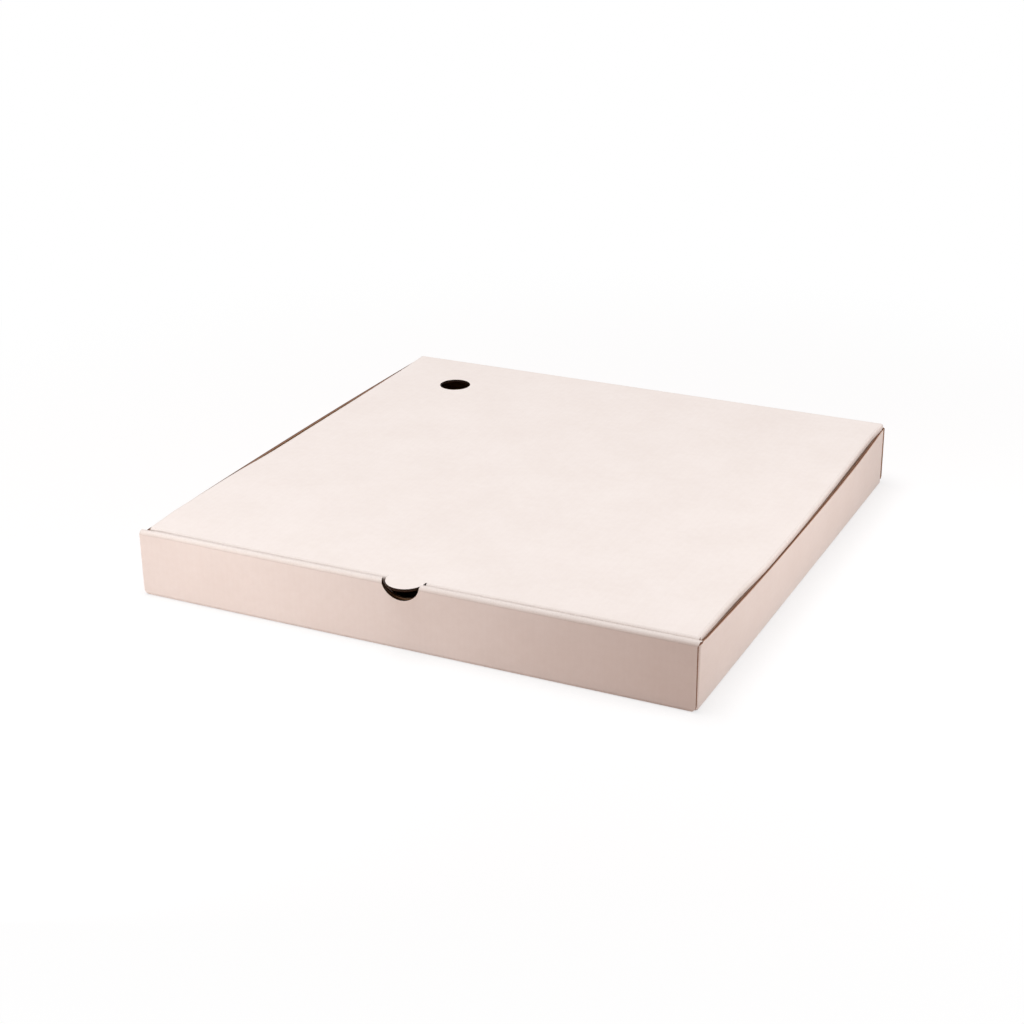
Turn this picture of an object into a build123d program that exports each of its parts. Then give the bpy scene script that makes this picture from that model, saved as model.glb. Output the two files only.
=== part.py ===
from build123d import *
import os
from math import asin, cos, degrees, pi, radians, sin

# A pizza box, cut and creased from one sheet of fine-flute corrugated board.
# The sheet is parted at a single crease, where the lid swings from the back wall.
# Millimetres. The origin is the centre of the underside: +X right, -Y front, +Z up.

# The sheet
BOARD = 1.5  # thickness of the board
CREASE = 0.3  # inside radius of a fold
LAYER_GAP = 0.1  # air between boards that lie against each other

# The closed box, outside
WIDTH = 330.0
DEPTH = 330.0
HEIGHT = 39.5  # the lid and the rolled front wall are flush
SIDE_DROP = 2.4  # the side walls end this far below the lid's top face
WALL_CORNER = 4.0  # rounded lower corners of the front and back walls

# The corner tabs at the ends of the side walls
CORNER_TAB_LENGTH = 72.0  # from the outside of the side wall
CORNER_TAB_TAPER = 9.0  # slant of the free end
CORNER_TAB_ROUND = 5.0
CORNER_TAB_LIFT = 0.5  # gap between a tab's lower edge and the floor

# The locks that hold the inner front board down in the floor
LOCK_WIDTH = 42.0
LOCK_SPACING = 190.0
LOCK_RECESS = 0.3  # the lock's end stays this far above the underside
LOCK_CLEARANCE = 0.3

# The thumb notch in the front wall
NOTCH_WIDTH = 22.0
NOTCH_DEPTH = 10.0

# The lid
LID_SIDE_GAP = 0.3  # from the side flaps to the side walls
LID_FRONT_GAP = 0.4  # from the front fold to the front wall
HINGE_SLIT = 0.2  # the parting at the back crease
FRONT_FLAP_DEPTH = 33.0
FRONT_FLAP_CORNER = 14.0
FRONT_FLAP_GAP = 1.0  # from its ends to the side flaps
FLAP_LEAN_SPARE = 0.5  # degrees past the lean at which the flap just swings clear
SIDE_FLAP_DEPTH = 30.0
SIDE_FLAP_SLANT = 9.0
SIDE_FLAP_ROUND = 5.0
SIDE_FLAP_FRONT_INSET = 1.0  # from the front fold
SIDE_FLAP_BACK_INSET = 5.0  # from the back of the box
TAB_CLEARANCE = 0.6  # thumb tab to the sides of the notch
TAB_KERF = 0.4  # slit that the die leaves round the thumb tab
TAB_DROOP = 8.0  # degrees that the thumb tab dips into the notch
VENT_DIAMETER = 20.0
VENT_FROM_SIDE = 48.5  # from the lid's left fold
VENT_FROM_BACK = 45.0

# Worked out from the sizes above
fold = CREASE + BOARD  # outside radius of a fold
fold_mid = CREASE + BOARD / 2
half_x, half_y = WIDTH / 2, DEPTH / 2
floor_mid, lid_mid = BOARD / 2, HEIGHT - BOARD / 2
side_mid, side_top = half_x - BOARD / 2, HEIGHT - SIDE_DROP
back_mid = half_y - BOARD / 2
outer_mid = -back_mid  # the three boards of the front wall, outside in
tab_mid = outer_mid + BOARD + LAYER_GAP
inner_mid = tab_mid + BOARD + LAYER_GAP
side_run = -tab_mid - fold_mid  # half the straight length of a side wall
inner_foot = BOARD + LAYER_GAP
notch_radius = (NOTCH_WIDTH**2 / 4 + NOTCH_DEPTH**2) / (2 * NOTCH_DEPTH)

lid_half = half_x - BOARD - LID_SIDE_GAP
lid_front = inner_mid + BOARD / 2 + LID_FRONT_GAP
panel_half, panel_front = lid_half - fold, lid_front + fold
flap_mid = lid_front + BOARD / 2
crease_half = fold_mid * pi / 4  # from the start of a fold to its crease line
tab_radius = NOTCH_WIDTH / 2 - TAB_CLEARANCE
tab_root = panel_front - crease_half
# A flap of depth d at reach r swings out past its own fold unless it leans in by asin(d / 2r).
flap_lean = asin(FRONT_FLAP_DEPTH / (2 * (half_y - lid_front))) + radians(FLAP_LEAN_SPARE)
flap_foot = HEIGHT - FRONT_FLAP_DEPTH
back_crease = Plane(
    origin=(0, half_y - fold, HEIGHT - fold), x_dir=(1, 0, 0), z_dir=(0, -1, 1)
)


def sheet(midline, plane, half_length):
    """Board along a mid-line with rounded folds, drawn out both ways from the plane."""
    section = trace(FilletPolyline(*midline, radius=fold_mid), BOARD)
    return extrude(plane * section, half_length, both=True)


def cut_to(part, outline, plane):
    """The part inside an outline that is drawn out through the whole box."""
    return part & extrude(plane * outline, WIDTH + DEPTH, both=True)


def upright(width, foot, corner):
    """Outline with rounded lower corners and its upper end far above the box."""
    tall = foot + 2 * HEIGHT + 2 * corner
    return Pos(0, foot + tall / 2) * RectangleRounded(width, tall, corner)


def tapered(low, high, foot, slant, corner):
    """Outline of a flap that hangs from the lid between two places, with slanted ends."""
    shoulder, above = HEIGHT - fold - corner, 2 * HEIGHT + 2 * corner
    points = [(low, above), (low, shoulder), (low + slant, foot)]
    points += [(high - slant, foot), (high, shoulder), (high, above)]
    return make_face(FilletPolyline(*points, radius=corner, close=True))


def front_wall():
    """Outer board, roll-over and inner board, notched for the thumb."""
    line = [(inner_mid, inner_foot), (inner_mid, lid_mid), (outer_mid, lid_mid)]
    line += [(outer_mid, floor_mid), (-side_run, floor_mid)]
    wall = cut_to(sheet(line, Plane.YZ, half_x), upright(WIDTH, 0, WALL_CORNER), Plane.XZ)
    # The inner board is shorter than the outer one, so that it passes between the side walls.
    relief_top = side_top + LAYER_GAP
    relief = Box(BOARD + LAYER_GAP, 3 * BOARD + 2 * LAYER_GAP, relief_top - BOARD)
    relief_x = half_x - (BOARD + LAYER_GAP) / 2
    relief_y = outer_mid + BOARD / 2 + (3 * BOARD + 2 * LAYER_GAP) / 2
    for x in (-relief_x, relief_x):
        wall -= Pos(x, relief_y, (relief_top + BOARD) / 2) * relief
    notch = Cylinder(notch_radius, 8 * BOARD, rotation=(90, 0, 0))
    return wall - Pos(0, tab_mid, HEIGHT - NOTCH_DEPTH + notch_radius) * notch


def back_wall():
    """Back wall up to the crease where the lid begins."""
    line = [(side_run, floor_mid), (back_mid, floor_mid), (back_mid, lid_mid)]
    line += [(back_mid - 2 * fold, lid_mid)]
    wall = cut_to(sheet(line, Plane.YZ, half_x), upright(WIDTH, 0, WALL_CORNER), Plane.XZ)
    return split(wall, back_crease.offset(-HINGE_SLIT / 2), Keep.BOTTOM)


def floor_and_sides():
    """Floor between the two side walls, up to where the corner folds begin."""
    line = [(-side_mid, side_top), (-side_mid, floor_mid)]
    line += [(side_mid, floor_mid), (side_mid, side_top)]
    return sheet(line, Plane.XZ, side_run)


def corner_tabs():
    """Ends of the side walls, folded in behind the front and back walls."""
    foot = BOARD + CORNER_TAB_LIFT
    tab_end = half_x - CORNER_TAB_LENGTH
    line = [(tab_end, tab_mid), (side_mid, tab_mid)]
    line += [(side_mid, -tab_mid), (tab_end, -tab_mid)]
    band = trace(FilletPolyline(*line, radius=fold_mid), BOARD)
    band = extrude(Plane.XY.offset(foot) * band, side_top - foot)
    outline = [(half_x + WIDTH, foot), (tab_end + CORNER_TAB_TAPER, foot)]
    outline += [(tab_end, side_top - CORNER_TAB_TAPER), (tab_end + CORNER_TAB_TAPER, side_top)]
    outline += [(half_x + WIDTH, side_top)]
    shape = make_face(FilletPolyline(*outline, radius=CORNER_TAB_ROUND, close=True))
    right = cut_to(band, shape, Plane.XZ)
    return right + mirror(right, Plane.YZ)


def tray():
    """The folded-up base, locked along the front."""
    base = floor_and_sides() + front_wall() + back_wall() + corner_tabs()
    slot_size = (LOCK_WIDTH + 2 * LOCK_CLEARANCE, BOARD + 2 * LOCK_CLEARANCE, 2 * BOARD)
    for x in (-LOCK_SPACING / 2, LOCK_SPACING / 2):
        base -= Pos(x, inner_mid, 0) * Box(*slot_size)
        lock_mid = (LOCK_RECESS + inner_foot) / 2
        base += Pos(x, inner_mid, lock_mid) * Box(LOCK_WIDTH, BOARD, inner_foot - LOCK_RECESS)
    return base


def lid_panel():
    """Top panel, from the back crease to the start of the front fold."""
    line = [(back_mid, lid_mid - 3 * fold), (back_mid, lid_mid), (panel_front, lid_mid)]
    return split(sheet(line, Plane.YZ, panel_half), back_crease.offset(HINGE_SLIT / 2), Keep.TOP)


def front_flap():
    """Tuck flap, leaning in behind the front wall, with the hole that the thumb tab leaves."""
    width = 2 * (lid_half - BOARD - FRONT_FLAP_GAP)
    run = 2 * FRONT_FLAP_DEPTH
    flap_end = (flap_mid + run * sin(flap_lean), lid_mid - run * cos(flap_lean))
    line = [(panel_front + fold, lid_mid), (flap_mid, lid_mid), flap_end]
    flap = sheet(line, Plane.YZ, width / 2)
    flap = cut_to(flap, upright(width, flap_foot, FRONT_FLAP_CORNER), Plane.XZ)
    hole = Cylinder(tab_radius + TAB_KERF, 8 * BOARD, rotation=(90, 0, 0))
    return flap - Pos(0, lid_front, HEIGHT - fold + crease_half) * hole


def side_flaps():
    """Dust flaps that hang from the lid's sides, inside the side walls."""
    flap_x, foot = lid_half - BOARD / 2, HEIGHT - SIDE_FLAP_DEPTH
    line = [(-flap_x, foot), (-flap_x, lid_mid), (flap_x, lid_mid), (flap_x, foot)]
    low, high = panel_front + SIDE_FLAP_FRONT_INSET, half_y - SIDE_FLAP_BACK_INSET
    outline = tapered(low, high, foot, SIDE_FLAP_SLANT, SIDE_FLAP_ROUND)
    return cut_to(sheet(line, Plane.XZ, half_y), outline, Plane.YZ)


def thumb_tab():
    """Half-round tab that stays with the lid when the flap folds down, dipping into the notch."""
    droop, run = radians(TAB_DROOP), 2 * tab_radius
    tip = (panel_front - run * cos(droop), lid_mid - run * sin(droop))
    line = [(panel_front + run, lid_mid), (panel_front, lid_mid), tip]
    root = Pos(0, tab_root + tab_radius / 2) * Rectangle(2 * tab_radius, tab_radius)
    outline = Pos(0, tab_root) * Circle(tab_radius) + root
    return cut_to(sheet(line, Plane.YZ, tab_radius), outline, Plane.XY)


def lid():
    """Lid with its flaps, thumb tab and steam vent."""
    top = lid_panel() + side_flaps() + front_flap() + thumb_tab()
    vent = Cylinder(VENT_DIAMETER / 2, 4 * BOARD)
    return top - Pos(VENT_FROM_SIDE - lid_half, half_y - VENT_FROM_BACK, lid_mid) * vent


os.makedirs("parts", exist_ok=True)
for node, make in {"tray": tray, "lid": lid}.items():
    shape = make()
    export_step(shape, f"parts/{node}.step")
    print(node, "solids", len(shape.solids()), "volume", round(shape.volume))
print("flap leans in by", round(degrees(flap_lean), 2), "degrees")
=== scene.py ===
# %% [markdown]
# # A pizza box, cut flat and folded
# The real box is one sheet of corrugated board: white paper outside, brown paper inside and a
# wavy paper core between them. A die cuts the outline and presses the creases, and a cook folds
# it up. It could be modelled as a dozen thin plates, but then no fold would look like bent
# board. This lesson does what the factory does: draw the die line, fill it, give it the
# board's thickness, and turn each panel up about its crease.

# %% Load the frame
import math

import bmesh
import bpy
from mathutils import Matrix, Vector
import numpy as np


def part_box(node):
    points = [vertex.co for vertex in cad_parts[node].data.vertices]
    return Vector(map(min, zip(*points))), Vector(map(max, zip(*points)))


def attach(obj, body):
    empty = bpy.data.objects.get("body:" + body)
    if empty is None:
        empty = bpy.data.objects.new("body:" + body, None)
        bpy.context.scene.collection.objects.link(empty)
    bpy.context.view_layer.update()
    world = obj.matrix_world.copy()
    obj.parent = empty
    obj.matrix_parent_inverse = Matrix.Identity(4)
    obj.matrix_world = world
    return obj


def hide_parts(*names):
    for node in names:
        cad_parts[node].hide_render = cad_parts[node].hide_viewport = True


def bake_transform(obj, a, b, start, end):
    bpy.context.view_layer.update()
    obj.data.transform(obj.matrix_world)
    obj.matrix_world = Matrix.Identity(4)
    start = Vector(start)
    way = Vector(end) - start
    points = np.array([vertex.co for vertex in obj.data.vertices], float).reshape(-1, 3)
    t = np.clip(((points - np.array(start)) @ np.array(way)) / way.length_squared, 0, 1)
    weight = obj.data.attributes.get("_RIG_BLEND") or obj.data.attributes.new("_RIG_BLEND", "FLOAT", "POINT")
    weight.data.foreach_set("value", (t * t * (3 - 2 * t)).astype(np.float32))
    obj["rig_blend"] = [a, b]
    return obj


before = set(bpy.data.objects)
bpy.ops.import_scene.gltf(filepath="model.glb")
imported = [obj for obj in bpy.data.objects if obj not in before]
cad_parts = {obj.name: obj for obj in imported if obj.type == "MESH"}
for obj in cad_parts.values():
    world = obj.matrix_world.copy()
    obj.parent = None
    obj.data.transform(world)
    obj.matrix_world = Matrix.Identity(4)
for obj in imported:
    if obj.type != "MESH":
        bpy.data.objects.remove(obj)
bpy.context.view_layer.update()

MM = 0.001
tray_low, tray_high = (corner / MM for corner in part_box("tray"))
lid_low, lid_high = (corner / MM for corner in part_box("lid"))
print("box", [round(size, 1) for size in tray_high - tray_low], "mm")

# %% [markdown]
# ## The sizes of the sheet
# The frame gives the outside of the box. The rest are the board's own sizes, in millimetres.
# A fold takes up some of the sheet: a right-angle bend uses a quarter circle, measured along
# the middle of the board, so the flat panels are worked out from the folded ones with that length.

# %% Board and fold sizes
BOARD = 1.5
CREASE = 0.3  # inside radius of a fold
LAYER_GAP = 0.1
FOLD = BOARD + CREASE
MIDDLE = CREASE + BOARD / 2
RIGHT_ANGLE = math.pi / 2
QUARTER = MIDDLE * RIGHT_ANGLE
BEND_LINES = 6  # straight lines that make up a right-angle bend
GUARD = 0.25  # distance of the last flat line beside a bend
GRID = 11.0  # spacing of the lines that let a panel bow
half_x, half_y, height = tray_high
base_x, base_y = half_x - FOLD, half_y - FOLD
print("a right-angle bend takes", round(QUARTER, 3), "mm of sheet")

# %% [markdown]
# ## Drawing and thickening a blank
# A blank is a closed outline with holes in it. `triangle_fill` fills outlines with holes, and
# `bisect_plane` then rules it with lines, because a sheet can only bend where it has edges.
# The fill leaves diagonals, which are dissolved so that the ruled lines alone remain.
# Each vertex remembers its place in the flat sheet: folds, finishes and cut edges all need it.


# %% Blank from a die line
NEAR = 1e-3  # places closer than this are one place
STRAIGHT = math.pi - 1e-3  # wider angles are straight
CORNER_STEPS = 6


def punch(bm, points, mark):
    """Edges round a hole in the flat sheet. The mark is the strength of the painted shade on the hole's cut
    edge.
    """
    ring = [bm.verts.new((x, y, 0)) for x, y in points]
    for start, end in zip(ring, ring[1:] + ring[:1]):
        bm.edges.new((start, end))
        start[bm.verts.layers.float["hole_shade"]] = mark


def round_corners(bm, radius, chosen):
    """Rounds the corners of the outline that the test picks."""
    corners = [vert for vert in bm.verts if chosen(*vert.co.xy)]
    bmesh.ops.bevel(bm, geom=corners, offset=radius, affect="VERTICES",
                    segments=CORNER_STEPS, profile=0.5, material=-1)


def rule(bm, axis, places):
    """Cuts the sheet along straight lines across one axis."""
    normal = Vector((axis == 0, axis == 1, 0))
    for place in places:
        everything = bm.verts[:] + bm.edges[:] + bm.faces[:]
        bmesh.ops.bisect_plane(bm, geom=everything, dist=NEAR / 10,
                               plane_co=normal * place, plane_no=normal)


def is_diagonal(edge):
    """True for an edge inside the sheet that isn't a ruled line."""
    step = edge.verts[1].co - edge.verts[0].co
    return len(edge.link_faces) == 2 and abs(step.x) > NEAR and abs(step.y) > NEAR


def is_spare(vert):
    """True for a vertex in the middle of a straight line, with nothing else joined to it."""
    if len(vert.link_edges) != 2:
        return False
    one, other = (edge.other_vert(vert).co - vert.co for edge in vert.link_edges)
    return one.angle(other) > STRAIGHT


def thicken(bm):
    """Gives the flat sheet its thickness, outer face down, and notes each vertex's flat place."""
    made = bmesh.ops.extrude_face_region(bm, geom=bm.faces[:])["geom"]
    raised = [item for item in made if isinstance(item, bmesh.types.BMVert)]
    bmesh.ops.translate(bm, verts=raised, vec=(0, 0, BOARD))
    bmesh.ops.recalc_face_normals(bm, faces=bm.faces[:])
    flat = bm.verts.layers.float_vector.new("flat")
    bm.verts.layers.float.new("depth")
    bm.verts.layers.float.new("bend")
    for vert in bm.verts:
        vert[flat] = vert.co


def blank(outline, holes, mark, corners, lines_x, lines_y):
    """The cut and ruled sheet, lying flat."""
    bm = bmesh.new()
    # a layer for the painted shade on the cut edges round the holes
    bm.verts.layers.float.new("hole_shade")
    bm.faces.new([bm.verts.new((x, y, 0)) for x, y in outline])
    for radius, chosen in corners:
        round_corners(bm, radius, chosen)
    bmesh.ops.delete(bm, geom=bm.faces[:], context="FACES_ONLY")
    for hole in holes:
        punch(bm, hole, mark)
    bmesh.ops.triangle_fill(bm, use_beauty=True, use_dissolve=False, edges=bm.edges[:])
    rule(bm, 0, lines_x)
    rule(bm, 1, lines_y)
    bmesh.ops.dissolve_edges(bm, edges=[e for e in bm.edges if is_diagonal(e)], use_verts=False)
    bmesh.ops.dissolve_verts(bm, verts=[v for v in bm.verts if is_spare(v)])
    thicken(bm)
    return bm


def bend_places(start, bend, lines=BEND_LINES):
    """Where a bend is ruled: its lines, and a guard line on each side."""
    inside = [start + bend * (i + 0.5) / lines for i in range(lines)]
    return [start - GUARD, *inside, start + bend + GUARD]


def grid_places(low, high):
    """Evenly spaced lines between two places."""
    count = max(1, round((high - low) / GRID))
    return [low + (high - low) * i / count for i in range(count + 1)]


def both_sides(right_half, left_half=None):
    """A whole outline from its right half, front to back, and from the left one if that differs."""
    return right_half + [(-x, y) for x, y in reversed(left_half or right_half)]


# %% [markdown]
# ## Folding
# A crease isn't a knife edge: the board bends over a short strip. Each fold is a few small turns,
# one at every ruled line, from the far side inwards, so that the lines still to be turned
# lie flat where the drawing puts them. A vertex on the line itself turns by half a step, which
# keeps the board equally thick round the bend.


# %% Fold a panel
def fold(bm, across, start, bend, turn, chosen, lines=BEND_LINES, used=None):
    """Turns up all that lies beyond a crease. across points away from the crease in the sheet."""
    flat, bent = bm.verts.layers.float_vector["flat"], bm.verts.layers.float["bend"]
    across = Vector((*across, 0))
    axis = across.cross(Vector((0, 0, 1)))
    panel = [(vert, vert[flat].dot(across)) for vert in bm.verts if chosen(vert[flat])]
    for i in reversed(range(used or lines)):
        line = start + bend * (i + 0.5) / lines
        pivot = across * line + Vector((0, 0, BOARD / 2))
        for share, low, high in ((1, line + NEAR, math.inf), (0.5, line - NEAR, line + NEAR)):
            moved = [vert for vert, place in panel if low < place <= high]
            matrix = Matrix.Rotation(share * turn / lines, 3, axis)
            bmesh.ops.rotate(bm, verts=moved, cent=pivot, matrix=matrix)
    for vert, place in panel:
        if start - GUARD / 2 < place < start + bend + GUARD / 2:
            vert[bent] = turn / math.pi


# %% [markdown]
# ## The tray's die line
# The floor carries four walls. The front wall is a double one: it goes up, rolls over at the top
# and comes down again inside, where two small locks catch in slots in the floor. The side
# walls end in corner tabs, which the rolled front wall traps. The right half of the outline
# is written down, and the left half is its mirror image.

# %% Tray sizes along the strips of the sheet
SIDE_DROP = 2.4  # side walls end below the lid's top face
TAB_LENGTH, TAB_TAPER, TAB_ROUND, TAB_LIFT = 72.0, 9.0, 5.0, 0.5
LOCK_WIDTH, LOCK_SPACING, LOCK_RECESS, LOCK_CLEARANCE = 42.0, 190.0, 0.3, 0.3
HINGE_SLIT = 0.2
ROLL_LINES = 12
roll = 3 * BOARD + 2 * LAYER_GAP  # the front wall is three boards thick at its corners
roll_bend = (roll - BOARD) / 2 * math.pi
inner_foot = BOARD + LAYER_GAP
inner_mid = -half_y + roll - BOARD / 2

front_wall = base_y + QUARTER
front_top = front_wall + height - FOLD - roll / 2
inner_top = front_top + roll_bend
inner_end = inner_top + height - roll / 2 - inner_foot
lock_end = inner_end + inner_foot - LOCK_RECESS
side_run = half_y - BOARD - LAYER_GAP - FOLD
side_wall = base_x + QUARTER
side_top = side_wall + height - SIDE_DROP - FOLD
corner_foot = side_wall + BOARD + TAB_LIFT - FOLD
corner_end = side_run + QUARTER + TAB_LENGTH - FOLD
back_wall = base_y + QUARTER
back_top = back_wall + height - 2 * FOLD
back_end = back_top + QUARTER / 2 - HINGE_SLIT / 2
print("tray blank is", round(lock_end + back_end), "mm long and", round(2 * side_top), "mm wide")

# %% Tray outline
WALL_CORNER = 4.0
BACK_SHOULDER = 1.0  # the back wall narrows this far below its crease
CREASE_SPARE = 0.2
inner_half = half_x - BOARD - LAYER_GAP
crease_half = lid_high.x - FOLD + CREASE_SPARE  # the back crease is as long as the lid is wide
lock_in, lock_out = (LOCK_SPACING - LOCK_WIDTH) / 2, (LOCK_SPACING + LOCK_WIDTH) / 2


def up_the_wall(z):
    """How far out in the sheet a height on the front or back wall lies."""
    return front_wall + z - FOLD if z > FOLD else base_y + MIDDLE * math.acos(1 - z / FOLD)


def lower_corner():
    """The rounded lower corner of the front and back walls, from its top to the floor."""
    turns = [RIGHT_ANGLE * i / CORNER_STEPS for i in range(CORNER_STEPS + 1)]
    return [(half_x - WALL_CORNER * (1 - math.cos(t)), up_the_wall(WALL_CORNER * (1 - math.sin(t))))
            for t in turns]


tray_outline = both_sides([
    (lock_in, -inner_end), (lock_in, -lock_end), (lock_out, -lock_end), (lock_out, -inner_end),
    (inner_half, -inner_end), (inner_half, -inner_top), (half_x, -inner_top),
    *[(x, -y) for x, y in lower_corner()],
    (base_x, -side_run), (corner_foot, -side_run), (corner_foot, -corner_end + TAB_TAPER),
    (side_top - TAB_TAPER, -corner_end), (side_top, -corner_end + TAB_TAPER),
    (side_top, corner_end - TAB_TAPER), (side_top - TAB_TAPER, corner_end),
    (corner_foot, corner_end - TAB_TAPER), (corner_foot, side_run), (base_x, side_run),
    *reversed(lower_corner()), (half_x, back_top - BACK_SHOULDER), (crease_half, back_end),
])
print("tray outline has", len(tray_outline), "corners")

# %% [markdown]
# ## Holes in the tray
# The thumb notch is one hole punched across the roll-over, so that it shows in both boards when
# the wall is rolled. It is a little wider towards the inside, where the lid's tab dips in.
# Two slots in the floor take the locks.

# %% Thumb notch and lock slots
NOTCH_X, NOTCH_HALF, NOTCH_DEPTH = -0.2, 11.2, 10.4
LEFT_FLARE, RIGHT_FLARE = 2.2, 1.0  # how much wider it is on the inside
FLARE_START, FLARE_END = -1.5, 2.5  # on either side of the roll's top line
HOLE_POINTS = 64


def fade(value, start, end):
    """Runs smoothly from 0 at start to 1 at end, which may lie on either side of it."""
    t = min(max((value - start) / (end - start), 0), 1)
    return t * t * (3 - 2 * t)


notch_mid = (front_top + inner_top) / 2
notch_reach = notch_mid - up_the_wall(height - NOTCH_DEPTH)


def hole_turns():
    """Angles of the places round a hole."""
    return [2 * math.pi * (i + 0.5) / HOLE_POINTS for i in range(HOLE_POINTS)]


def notch_hole():
    """Places round the notch, which reaches from the outer board over the roll to the inner one."""
    places = []
    for t in hole_turns():
        inward = notch_reach * math.sin(t)
        flare = RIGHT_FLARE if math.cos(t) > 0 else LEFT_FLARE
        wide = NOTCH_HALF + flare * fade(inward, FLARE_START, FLARE_END)
        places.append((NOTCH_X + wide * math.cos(t), -notch_mid - inward))
    return places


def slot(x):
    """The slot in the floor that takes one lock."""
    reach, half = LOCK_WIDTH / 2 + LOCK_CLEARANCE, BOARD / 2 + LOCK_CLEARANCE
    low, high = inner_mid - half, inner_mid + half
    return [(x - reach, low), (x + reach, low), (x + reach, high), (x - reach, high)]


tray_holes = [notch_hole(), slot(-LOCK_SPACING / 2), slot(LOCK_SPACING / 2)]
print("thumb notch", 2 * NOTCH_HALF, "by", round(2 * notch_reach, 1), "mm in the flat sheet")


# %% Cut the tray
NOTCH_EDGE_SHADE = 0.92  # painted shade that makes the notch's cut edge nearly black


def is_corner_end(x, y):
    """The free corners of the corner tabs."""
    return abs(x) > half_x and abs(y) > side_run + TAB_TAPER


tray_lines_y = grid_places(-base_y, base_y) + grid_places(-front_top, -front_wall)
tray_lines_y += grid_places(-inner_end, -inner_top) + grid_places(back_wall, back_top)
tray_lines_y += [-place for start in (base_y, side_run) for place in bend_places(start, QUARTER)]
tray_lines_y += [-place for place in bend_places(front_top, roll_bend, ROLL_LINES)]
tray_lines_y += [place for start in (base_y, side_run, back_top)
                 for place in bend_places(start, QUARTER)]
tray_lines_x = grid_places(-base_x, base_x)
tray_lines_x += [sign * place for sign in (-1, 1) for place in
                 grid_places(side_wall, side_top) + bend_places(base_x, QUARTER)]
tray_corners = [(TAB_ROUND, is_corner_end)]
tray_bm = blank(tray_outline, tray_holes, NOTCH_EDGE_SHADE, tray_corners, tray_lines_x, tray_lines_y)
print("tray blank has", len(tray_bm.faces), "faces")


# %% Fold the tray
def on_front_or_back(place):
    """True on the strip that runs from the front wall over the floor to the back wall."""
    return abs(place.x) < half_x + NEAR


def on_side(place):
    """True on the side walls and their corner tabs."""
    beside_floor = abs(place.y) < side_run + NEAR
    return abs(place.x) > base_x and (beside_floor or not on_front_or_back(place))


for side in (-1, 1):
    for end in (-1, 1):
        fold(tray_bm, (0, end), side_run, QUARTER, RIGHT_ANGLE,
             lambda place: not on_front_or_back(place) and place.x * side > 0)
    fold(tray_bm, (side, 0), base_x, QUARTER, RIGHT_ANGLE, on_side)
fold(tray_bm, (0, -1), front_top, roll_bend, math.pi, on_front_or_back, lines=ROLL_LINES)
fold(tray_bm, (0, -1), base_y, QUARTER, RIGHT_ANGLE, on_front_or_back)
fold(tray_bm, (0, 1), back_top, QUARTER, RIGHT_ANGLE, on_front_or_back, used=BEND_LINES // 2)
fold(tray_bm, (0, 1), base_y, QUARTER, RIGHT_ANGLE, on_front_or_back)
print("tray", len(tray_bm.verts), "vertices")

# %% [markdown]
# ## The lid's die line
# The lid is the other half of the sheet. Its panel carries two dust flaps and a tuck flap, and a
# half-round tab for the thumb is cut out of the tuck flap so that it stays level when
# the flap goes down. The lid is drawn and folded upside down, like the tray, and turned over last.

# %% Lid sizes
LID_FRONT_GAP = 0.03
FRONT_FLAP_CORNER = 14.0
FRONT_FLAP_LEAN = math.radians(3.41)
SIDE_SLANT, SIDE_ROUND, SIDE_BACK_INSET, SIDE_DEPTH = 9.0, 5.0, 5.0, 30.0
LEFT_EAR, RIGHT_EAR = 0.4, 1.7  # the front fold is this much wider than the panel
KERF = 0.05  # half the width of the die's cut beside the front fold
lid_half = lid_high.x
panel_half = lid_half - FOLD
lid_front = -half_y + roll + LID_FRONT_GAP
panel_front = lid_front + FOLD
front_turn = RIGHT_ANGLE + FRONT_FLAP_LEAN
front_bend = MIDDLE * front_turn
flap_half = panel_half - KERF
flap_end = -panel_front + front_bend + (height - FOLD - lid_low.z) / math.cos(FRONT_FLAP_LEAN)
dust_top = panel_half + QUARTER
dust_edge = dust_top + SIDE_DEPTH - FOLD
dust_shoulder = dust_top + SIDE_ROUND
dust_front, dust_back = panel_front + KERF, half_y - SIDE_BACK_INSET
lid_end = base_y + QUARTER / 2 - HINGE_SLIT / 2
print("lid panel", round(2 * panel_half), "by", round(lid_end - panel_front), "mm")

# %% Lid outline and holes
THUMB_X, THUMB_RADIUS, THUMB_DROOP = -0.35, 11.1, math.radians(1.3)
SLIT_X, SLIT_RADIUS = -0.03, 11.5  # the tab lies close to the slit's left end
SLIT_STEPS = 28
VENT_X, VENT_Y, VENT_RADIUS = -115.1, 120.0, 10.0
BACK_STEP, BACK_RELIEF = 0.2, 0.3  # the dust flap is cut free of the back crease
thumb_root = panel_front - MIDDLE * math.pi / 4


def lid_edge(ear):
    """The right-hand edge of the lid, from the end of the tuck flap to the back crease."""
    return [
        (flap_half, -flap_end), (flap_half, panel_front - front_bend - ear),
        (panel_half + ear, panel_front - front_bend), (panel_half + ear, panel_front - KERF),
        (panel_half, panel_front), (dust_shoulder, dust_front),
        (dust_edge, dust_front + SIDE_SLANT), (dust_edge, dust_back - SIDE_SLANT),
        (dust_shoulder, dust_back), (dust_top + 2 * BACK_STEP, dust_back),
        (dust_top + BACK_STEP, base_y - BACK_RELIEF), (panel_half, lid_end),
    ]


lid_outline = both_sides(lid_edge(RIGHT_EAR), lid_edge(LEFT_EAR))


def half_round(x, radius):
    """One edge of the slit round the thumb tab, from its right root to its left one."""
    turns = [-math.pi * i / SLIT_STEPS for i in range(SLIT_STEPS + 1)]
    arc = [(x + radius * math.cos(t), thumb_root + radius * math.sin(t)) for t in turns]
    return [(x + radius, panel_front), *arc, (x - radius, panel_front)]


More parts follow.
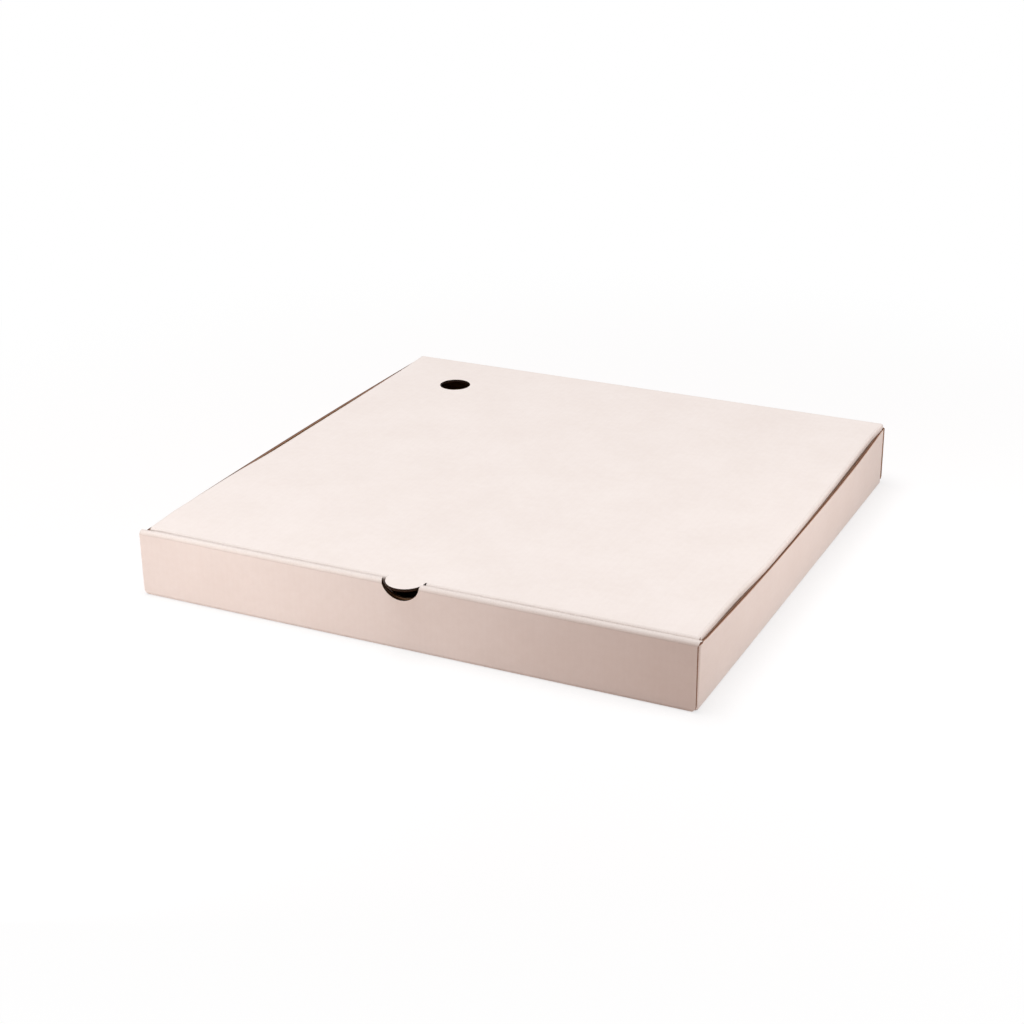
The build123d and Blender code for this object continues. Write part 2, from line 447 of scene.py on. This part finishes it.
thumb_slit = half_round(SLIT_X, SLIT_RADIUS) + half_round(THUMB_X, THUMB_RADIUS)[::-1]
steam_vent = [(VENT_X + VENT_RADIUS * math.cos(t), VENT_Y + VENT_RADIUS * math.sin(t))
              for t in hole_turns()]
print("lid outline has", len(lid_outline), "corners, and the vent is", 2 * VENT_RADIUS, "mm across")


# %% Cut the lid
# painted shade on the vent's cut edge, at full strength
VENT_EDGE_SHADE = 1.0


def is_flap_corner(x, y):
    """The lower corners of the tuck flap."""
    return y < panel_front - FRONT_FLAP_CORNER


def is_dust_corner(x, y):
    """The free corners of the dust flaps."""
    return abs(x) > dust_edge - NEAR


lid_lines_x = grid_places(-panel_half, panel_half)
lid_lines_x += [sign * place for sign in (-1, 1) for place in
                grid_places(dust_shoulder, dust_edge) + bend_places(panel_half, QUARTER)]
lid_lines_y = grid_places(panel_front, base_y) + grid_places(-flap_end, panel_front - front_bend)
lid_lines_y += [-place for place in bend_places(-panel_front, front_bend)]
lid_lines_y += bend_places(base_y, QUARTER)
lid_corners = [(FRONT_FLAP_CORNER, is_flap_corner), (SIDE_ROUND, is_dust_corner)]
lid_holes = [thumb_slit, steam_vent]
lid_bm = blank(lid_outline, lid_holes, VENT_EDGE_SHADE, lid_corners, lid_lines_x, lid_lines_y)
print("lid blank has", len(lid_bm.faces), "faces")


# %% Fold the lid and turn it over
SLIT_MID = 0.03  # from the tab's edge to the middle of the slit where it is narrowest


def on_thumb_tab(place):
    """True inside the slit that frees the thumb tab."""
    return math.hypot(place.x - THUMB_X, min(0, place.y - thumb_root)) < THUMB_RADIUS + SLIT_MID


def behind_front_fold(place):
    """True on the panel and the dust flaps."""
    return place.y > panel_front - NEAR


fold(lid_bm, (-1, 0), panel_half, QUARTER, RIGHT_ANGLE, behind_front_fold)
fold(lid_bm, (1, 0), panel_half, QUARTER, RIGHT_ANGLE, behind_front_fold)
fold(lid_bm, (0, -1), -panel_front, front_bend, front_turn, lambda place: not on_thumb_tab(place))
fold(lid_bm, (0, -1), -panel_front, front_bend, THUMB_DROOP, on_thumb_tab)
fold(lid_bm, (0, 1), base_y, QUARTER, RIGHT_ANGLE, behind_front_fold, used=BEND_LINES // 2)
bmesh.ops.scale(lid_bm, vec=(1, 1, -1), verts=lid_bm.verts[:])
bmesh.ops.translate(lid_bm, vec=(0, 0, height), verts=lid_bm.verts[:])
bmesh.ops.recalc_face_normals(lid_bm, faces=lid_bm.faces[:])
print("lid", len(lid_bm.verts), "vertices")

# %% [markdown]
# ## A box that has been handled
# Board that was folded by hand is never quite flat. The side walls bow outwards, the right one
# leans out beside the front wall, and the rolled edge sags and spreads at its right end. The lid
# lies a hair to the right, its right fold is pushed out with the wall, its left edge stands
# up, and its front edge dips behind the roll. These are smooth moves of a few millimetres. Each
# is a size from the list, faded in and out between two places on the box.

# %% Settle the two sheets
LEFT_BOW, RIGHT_BOW = (2.5, 2.0), (3.5, 2.6)  # how far, and how evenly along the wall
WALL_LEAN, WALL_DROP, WALL_LIFT = 0.6, 0.5, 0.7
SAG_ENDS, SAG_MIDDLE, SAG_LEFT = 0.05, 0.3, 0.15
ROLL_SPLAY, FOOT_REACH = 0.8, 1.2
LID_SHIFT, LID_FLARE, FOLD_PUSH = 0.5, 0.8, 2.5
EDGE_RISE, RISE_LOST, FRONT_DIP = 1.3, 0.85, 0.6
LEVEL = 0.01  # heights closer than this are one height
behind_outer_board = half_y - BOARD - LAYER_GAP / 2


def settle_tray(place):
    """How far a point of the tray has moved from its drawn place."""
    (x, y, z), right, reach = place, place.x > 0, abs(place.x)
    on_wall = fade(reach, 150, 160) * z / height
    bow, evenness = RIGHT_BOW if right else LEFT_BOW
    bow *= max(0, 1 - abs(y / half_y) ** evenness)
    behind = right and y > -behind_outer_board
    lean = WALL_LEAN * fade(y, -135, -160) * behind
    lift = WALL_LIFT * fade(y, -150, -160) * behind * (z < height - SIDE_DROP + LEVEL)
    sag = SAG_ENDS + SAG_MIDDLE * (1 - (x / half_x) ** 2) + SAG_LEFT * math.exp(-((x + 75) / 45) ** 2)
    sag *= fade(z, 30, 38) * fade(y, -150, -158)
    splay = ROLL_SPLAY * fade(z, 36.5, 39) * fade(x, 150, 165) * (y < -150)
    drop = WALL_DROP * on_wall * (fade(y, -160, -140) if right else fade(y, -110, -140))
    at_tab_foot = abs(z - BOARD - TAB_LIFT) < LEVEL and abs(y) < behind_outer_board
    foot = FOOT_REACH * fade(reach, 162.5, 163.5) * at_tab_foot
    outward = (bow + lean) * on_wall + splay
    return Vector((math.copysign(outward, x), 0, lift * on_wall - sag - drop - foot))


def settle_lid(place):
    """How far a point of the lid has moved from its drawn place."""
    x, y, z = place
    edge = fade(abs(x), 60, 160)
    shift = LID_SHIFT * (1 + fade(y, 150, 50))
    flare = LID_FLARE * fade(y, 140, 162) * edge
    push = FOLD_PUSH * fade(y, -122, -57) * fade(y, 150, -30) * fade(z, 8, 36) * edge * (x > 0)
    rise = EDGE_RISE * fade(y, -25, -85) * fade(x, -100, -160)
    rise *= 1 - RISE_LOST * fade(y, -135, -157)
    dip = FRONT_DIP * fade(x, 110, 0) * fade(x, -162, -132) * fade(y, -125, -155)
    return Vector((shift + math.copysign(flare, x) + push, 0, rise - dip))


for bm, settle in ((tray_bm, settle_tray), (lid_bm, settle_lid)):
    moves = [settle(vert.co) for vert in bm.verts]
    for vert, move in zip(bm.verts, moves):
        vert.co += move
    print("settled by up to", round(max(move.length for move in moves), 2), "mm")

# %% [markdown]
# ## From sheet to object
# White liner, brown liner and cut edge are three finishes on one sheet, so every face gets one of
# three slots by the side of the board that it lies on. The flat places become the UV map, in
# metres, so that a finish can follow the flutes round every fold. The depth through the
# board becomes an attribute, which the cut edge needs to draw the wavy core.

# %% Make the objects
LINER, KRAFT, CUT = range(3)
SHARP = math.radians(35)


def add_object(name, bm):
    """A mesh object in metres from a bmesh in millimetres."""
    bmesh.ops.scale(bm, vec=(MM, MM, MM), verts=bm.verts[:])
    mesh = bpy.data.meshes.new(name)
    bm.to_mesh(mesh)
    bm.free()
    mesh.set_sharp_from_angle(angle=SHARP)
    piece = bpy.data.objects.new(name, mesh)
    bpy.context.scene.collection.objects.link(piece)
    print(name, len(mesh.polygons), "faces")
    return piece


def paint_sides(bm, mitre):
    """Finish slots, UV map and depth of a folded sheet."""
    flat, depth = bm.verts.layers.float_vector["flat"], bm.verts.layers.float["depth"]
    uv = bm.loops.layers.uv.new("flat_sheet")
    for vert in bm.verts:
        vert[depth] = vert[flat].z / BOARD
    for face in bm.faces:
        sides = {round(vert[depth]) for vert in face.verts}
        at_mitre = all(abs(vert[flat].y - mitre) < NEAR for vert in face.verts)
        inside = sides == {1} or at_mitre
        face.material_index = LINER if sides == {0} else KRAFT if inside else CUT
        face.smooth = True
        for loop in face.loops:
            loop[uv].uv = loop.vert[flat].xy * MM


paint_sides(tray_bm, back_end)
paint_sides(lid_bm, lid_end)
tray_board = add_object("tray_board", tray_bm)
lid_board = add_object("lid_board", lid_bm)
for piece, node in ((tray_board, "tray"), (lid_board, "lid")):
    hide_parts(node)
    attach(piece, node)

# %% [markdown]
# ## The liner across the back crease
# On the real box the white liner runs on over the back crease, and the lid turns about it. The
# two sheets end a hair apart there, so a thin strip of liner closes the slit. It bends with
# the joint: one long edge follows the tray and the other follows the lid.

# %% Crease strip
STRIP_THICKNESS, STRIP_INSET, STRIP_STEPS = 0.25, 0.3, 24
crease = Vector((0, base_y, height - FOLD))
outward = Vector((0, 1, 1)).normalized()
towards_lid = Vector((0, -1, 1)).normalized()
strip_bm = bmesh.new()
strip_uv = strip_bm.loops.layers.uv.new("flat_sheet")
bmesh.ops.create_grid(strip_bm, x_segments=STRIP_STEPS, y_segments=2, size=1)
strip_size = (panel_half - STRIP_INSET, HINGE_SLIT / 2, 1)
bmesh.ops.scale(strip_bm, vec=strip_size, verts=strip_bm.verts[:])
for face in strip_bm.faces:
    for loop in face.loops:
        loop[strip_uv].uv = (loop.vert.co.x * MM, lid_end * MM)
made = bmesh.ops.extrude_face_region(strip_bm, geom=strip_bm.faces[:])["geom"]
inner = [item for item in made if isinstance(item, bmesh.types.BMVert)]
bmesh.ops.translate(strip_bm, verts=inner, vec=(0, 0, -STRIP_THICKNESS))
half_way = Matrix.Rotation(-RIGHT_ANGLE / 2, 3, "X")
bmesh.ops.rotate(strip_bm, verts=strip_bm.verts[:], matrix=half_way)
bmesh.ops.translate(strip_bm, verts=strip_bm.verts[:], vec=crease + outward * FOLD)
bmesh.ops.recalc_face_normals(strip_bm, faces=strip_bm.faces[:])
for face in strip_bm.faces:
    face.material_index = LINER if face.normal.dot(outward) > 0.5 else KRAFT
crease_strip = add_object("crease_strip", strip_bm)
fold_place = (crease + outward * FOLD) * MM
half_slit = towards_lid * HINGE_SLIT / 2 * MM
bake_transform(crease_strip, "tray", "lid",
         start=tuple(fold_place - half_slit), end=tuple(fold_place + half_slit))

# %% [markdown]
# ## Writing finishes as sums
# A finish is a graph of nodes. Written node by node it hides its idea, so one small class lets a
# socket take part in sums: `1 - mask * 0.5` adds the Math nodes by itself. Every other node
# comes from one method.


# %% A finish that can be reckoned with
FLUTE_PITCH = 3.3 * MM


class Wire:
    """One value of a finish. Sums with it add Math nodes."""

    def __init__(self, finish, socket):
        self.finish, self.socket = finish, socket

    def math(self, operation, *values):
        return self.finish.node("ShaderNodeMath", {"operation": operation}, dict(enumerate(values)))

    def __add__(self, other):
        return self.math("ADD", self, other)

    def __sub__(self, other):
        return self.math("SUBTRACT", self, other)

    def __rsub__(self, other):
        return self.math("SUBTRACT", other, self)

    def __mul__(self, other):
        return self.math("MULTIPLY", self, other)

    def __abs__(self):
        return self.math("ABSOLUTE", self)

    __radd__, __rmul__ = __add__, __mul__

    def sine(self):
        return self.math("SINE", self)

    def step(self, low, high):
        """Rises smoothly from 0 at low to 1 at high."""
        return self.finish.node("ShaderNodeMapRange", {"interpolation_type": "SMOOTHSTEP"},
                                {"Value": self, "From Min": low, "From Max": high})


class Finish:
    """The nodes of a material or of the world."""

    def __init__(self, owner):
        owner.use_nodes = True
        self.owner, self.tree = owner, owner.node_tree
        self.shader = self.tree.nodes.get("Principled BSDF")

    def node(self, kind, settings={}, sockets={}, out=0):
        made = self.tree.nodes.new(kind)
        for key, value in settings.items():
            setattr(made, key, value)
        for key, value in sockets.items():
            self.feed(made.inputs[key], value)
        return Wire(self, made.outputs[out])

    def feed(self, socket, value):
        if isinstance(value, Wire):
            self.tree.links.new(value.socket, socket)
        else:
            socket.default_value = value

    def set(self, **sockets):
        for key, value in sockets.items():
            self.feed(self.shader.inputs[key.replace("_", " ")], value)

    def show(self, shader):
        """Sends a shader to the output."""
        output = next(node for node in self.tree.nodes if node.type.startswith("OUTPUT"))
        self.feed(output.inputs["Surface"], shader)

    def sheet(self):
        """The place in the flat sheet, and the wave of the flutes there, from -1 to 1."""
        place = self.node("ShaderNodeUVMap", {"uv_map": "flat_sheet"})
        across = self.node("ShaderNodeSeparateXYZ", {}, {"Vector": place})
        return place, (across * (2 * math.pi / FLUTE_PITCH)).sine()

    def noise(self, place, scale, detail=2.0, stretch=(1, 1, 1)):
        """Smooth noise from 0 to 1, stretched along an axis."""
        place = self.node("ShaderNodeVectorMath", {"operation": "MULTIPLY"}, {0: place, 1: stretch})
        sockets = {"Vector": place, "Scale": scale, "Detail": detail}
        return self.node("ShaderNodeTexNoise", {}, sockets)

    def mix(self, factor, colour_a, colour_b):
        sockets = {0: factor, 6: colour_a, 7: colour_b}
        return self.node("ShaderNodeMix", {"data_type": "RGBA"}, sockets, 2)

    def attribute(self, name):
        return self.node("ShaderNodeAttribute", {"attribute_name": name}, {}, 2)

    def bump(self, height_in_metres, strength=1.0):
        sockets = {"Height": height_in_metres, "Distance": 1.0, "Strength": strength}
        return self.node("ShaderNodeBump", {}, sockets)

    def picture_rays(self):
        """1 for what the camera sees, straight, in a gloss or through glass."""
        rays = self.node("ShaderNodeLightPath").socket.node.outputs
        seen, gloss, through = (Wire(self, rays[f"Is {kind} Ray"])
                                for kind in ("Camera", "Glossy", "Transmission"))
        return seen + gloss + through


# %% [markdown]
# ## White liner
# The outside is bleached paper: a warm white with clouds in it where the pulp lies thicker, fine
# fibres along the machine direction, and a faint washboard where it is glued to the flutes.
# At the folds the paper is stretched and shows small cracks, and painted shade darkens the whole bend.


# %% White liner
def white_liner():
    finish = Finish(bpy.data.materials.new("white_liner"))
    place, flute = finish.sheet()
    bend = finish.attribute("bend")
    clouds = finish.noise(place, 26, 3)
    pulp = finish.noise(place, 220)
    fibres = finish.noise(place, 2400, stretch=(1, 0.22, 1))
    cracks = finish.noise(place, 1500).step(0.56, 0.68) * bend.step(0, 0.4)
    tone = clouds * 0.5 + pulp * 0.3 + fibres * 0.2
    paper = finish.mix(tone.step(0.25, 0.75), (0.835, 0.775, 0.732, 1), (0.885, 0.835, 0.798, 1))
    washed = finish.mix(flute.step(-1, 1) * 0.03, paper, (0.72, 0.655, 0.61, 1))
    # painted shade: the whole bend is darkened, twice as much on the roll-over as on a right-angle fold
    fold_shaded = finish.mix(bend * 0.45, washed, (0.66, 0.6, 0.56, 1))
    finish.set(Base_Color=finish.mix(cracks * 0.22, fold_shaded, (0.55, 0.47, 0.41, 1)),
               Roughness=0.58 + fibres * 0.1 + bend * 0.08, IOR=1.45,
               Normal=finish.bump(flute * 3e-6 + fibres * 4e-6 + pulp * 6e-6 - cracks * 2e-5))
    return finish.owner


# %% [markdown]
# ## Brown liner
# The inside is unbleached kraft paper: brown, with lighter and darker fibres, and the flutes show
# through it as soft stripes.


# %% Brown liner
def brown_liner():
    finish = Finish(bpy.data.materials.new("brown_liner"))
    place, flute = finish.sheet()
    clouds = finish.noise(place, 40, 3)
    fibres = finish.noise(place, 1500, 3, (1, 0.2, 1))
    flecks = finish.noise(place, 900, stretch=(1, 0.35, 1)).step(0.62, 0.7)
    tone = clouds * 0.4 + fibres * 0.6
    paper = finish.mix(tone.step(0.3, 0.7), (0.34, 0.185, 0.09, 1), (0.49, 0.30, 0.165, 1))
    striped = finish.mix(flute.step(-1, 1) * 0.16, paper, (0.25, 0.13, 0.06, 1))
    finish.set(Base_Color=finish.mix(flecks * 0.3, striped, (0.16, 0.08, 0.04, 1)),
               Roughness=0.72 + fibres * 0.1, IOR=1.45,
               Normal=finish.bump(flute * 8e-6 + fibres * 1.5e-5))
    return finish.owner


# %% [markdown]
# ## Cut edge
# Where the die has cut, the board shows its build: a pale line for the white liner, a brown one for
# the kraft liner, and between them the core, a wave with painted shade in its hollows. The wave is
# drawn from the depth through the board and the place across the flutes, so it is a wave on edges
# that cross the flutes and a plain line on edges that run along them. The holes are cut out by a
# punch, and their cut edges get painted shade that makes them nearly black.


# %% Cut edge
def cut_edge():
    finish = Finish(bpy.data.materials.new("cut_edge"))
    place, flute = finish.sheet()
    depth, hole_shade = finish.attribute("depth"), finish.attribute("hole_shade")
    ragged = finish.noise(place, 1400)
    wave = 0.5 + 0.33 * flute
    core = 1 - abs(depth - wave + (ragged - 0.5) * 0.08).step(0.08, 0.15)
    pale = 1 - depth.step(0.07, 0.13)
    brown = depth.step(0.83, 0.9)
    # painted shade in the open flutes of the core, where the edge is hollow
    hollow_shade = finish.mix(ragged, (0.06, 0.028, 0.019, 1), (0.14, 0.07, 0.046, 1))
    cored = finish.mix(core, hollow_shade, (0.42, 0.235, 0.16, 1))
    lined = finish.mix(brown, cored, (0.42, 0.24, 0.155, 1))
    cut = finish.mix(pale, lined, (0.5, 0.39, 0.31, 1))
    # painted shade: the cut edges round the holes are darkened nearly to black
    finish.set(Base_Color=finish.mix(hole_shade * 0.9, cut, (0.012, 0.006, 0.003, 1)),
               Roughness=0.85, Specular_IOR_Level=0.1,
               Normal=finish.bump((core + pale + brown) * 1e-4, 0.6))
    return finish.owner


finishes = [white_liner(), brown_liner(), cut_edge()]
for piece in (tray_board, lid_board, crease_strip):
    for finish in finishes:
        piece.data.materials.append(finish)
print("finishes", [finish.name for finish in finishes])

# %% [markdown]
# ## Camera
# The photograph was taken with a longish lens from the right of the front, a little above the
# box. The angles come from fitting a pinhole camera to the box's edges.

# %% Camera
AZIMUTH, ELEVATION, TILT = map(math.radians, (25.99, 23.30, -0.69))
LOOK_AT, DISTANCE, LENS = Vector((-0.0106, -0.0092, 0.0165)), 1.1616, 68.83
back = Vector((math.sin(AZIMUTH) * math.cos(ELEVATION), -math.cos(AZIMUTH) * math.cos(ELEVATION),
               math.sin(ELEVATION)))
camera = bpy.data.objects.new("camera", bpy.data.cameras.new("camera"))
camera.data.lens, camera.data.sensor_width = LENS, 36
camera.location = LOOK_AT + back * DISTANCE
aim = (-back).to_track_quat("-Z", "Y").to_matrix()
camera.rotation_euler = (aim @ Matrix.Rotation(TILT, 3, "Z")).to_euler()
bpy.context.scene.collection.objects.link(camera)
bpy.context.scene.camera = camera
print("camera at", [round(value, 3) for value in camera.location])

# %% [markdown]
# ## Floor, lamps and background
# A pale floor and a white surround, as in a product picture. The camera sees the floor partly as
# plain white, so that it runs into the background, and partly as lit paper, so that the box keeps
# its soft shadow. Three soft lamps light the top, the front from the left, and the right side.


# %% Floor
FLOOR_HALF = 6.0  # metres


def pale_floor():
    finish = Finish(bpy.data.materials.new("pale_floor"))
    place = finish.node("ShaderNodeTexCoord", {}, {}, 3)
    far = finish.node("ShaderNodeVectorMath", {"operation": "LENGTH"}, {0: place}, 1).step(0.2, 0.6)
    lit = finish.node("ShaderNodeBsdfDiffuse", {}, {"Color": (1, 1, 1, 1)})
    white = finish.node("ShaderNodeEmission", {}, {"Color": (1, 1, 1, 1), "Strength": 1.0})
    bounce = finish.node("ShaderNodeBsdfDiffuse", {}, {"Color": (0.5, 0.34, 0.27, 1)})
    picture = finish.node("ShaderNodeMixShader", {}, {0: 0.72 + 0.28 * far, 1: lit, 2: white})
    sockets = {0: finish.picture_rays(), 1: bounce, 2: picture}
    finish.show(finish.node("ShaderNodeMixShader", {}, sockets))
    return finish.owner


floor_bm = bmesh.new()
bmesh.ops.create_grid(floor_bm, x_segments=1, y_segments=1, size=FLOOR_HALF / MM)
floor = add_object("floor", floor_bm)
floor.data.materials.append(pale_floor())


# %% Lamps and world
def soft_lamp(name, place, aim, size, watts):
    """A round soft lamp that the camera doesn't see."""
    lamp = bpy.data.objects.new(name, bpy.data.lights.new(name, "AREA"))
    lamp.data.shape, lamp.data.size, lamp.data.energy = "DISK", size, watts
    lamp.location = place
    lamp.rotation_euler = (Vector(aim) - Vector(place)).to_track_quat("-Z", "Y").to_euler()
    lamp.visible_camera = False
    bpy.context.scene.collection.objects.link(lamp)


soft_lamp("top_lamp", (-0.3, -0.1, 1.7), (0, 0, 0), 1.2, 22.5)
soft_lamp("left_lamp", (-0.13, -0.48, 0.07), (-0.26, -0.165, 0.02), 0.2, 0.67)
soft_lamp("right_lamp", (0.55, -0.01, 0.14), (0.16, -0.01, 0.02), 0.3, 0.9)

surround = Finish(bpy.data.worlds.new("surround"))
ambient = surround.node("ShaderNodeBackground", {}, {"Color": (1, 0.83, 0.82, 1), "Strength": 0.28})
white = surround.node("ShaderNodeBackground", {}, {"Color": (1, 1, 1, 1), "Strength": 1.0})
sockets = {0: surround.picture_rays(), 1: ambient, 2: white}
surround.show(surround.node("ShaderNodeMixShader", {}, sockets))
bpy.context.scene.world = surround.owner
bpy.context.scene.view_settings.view_transform = "Standard"
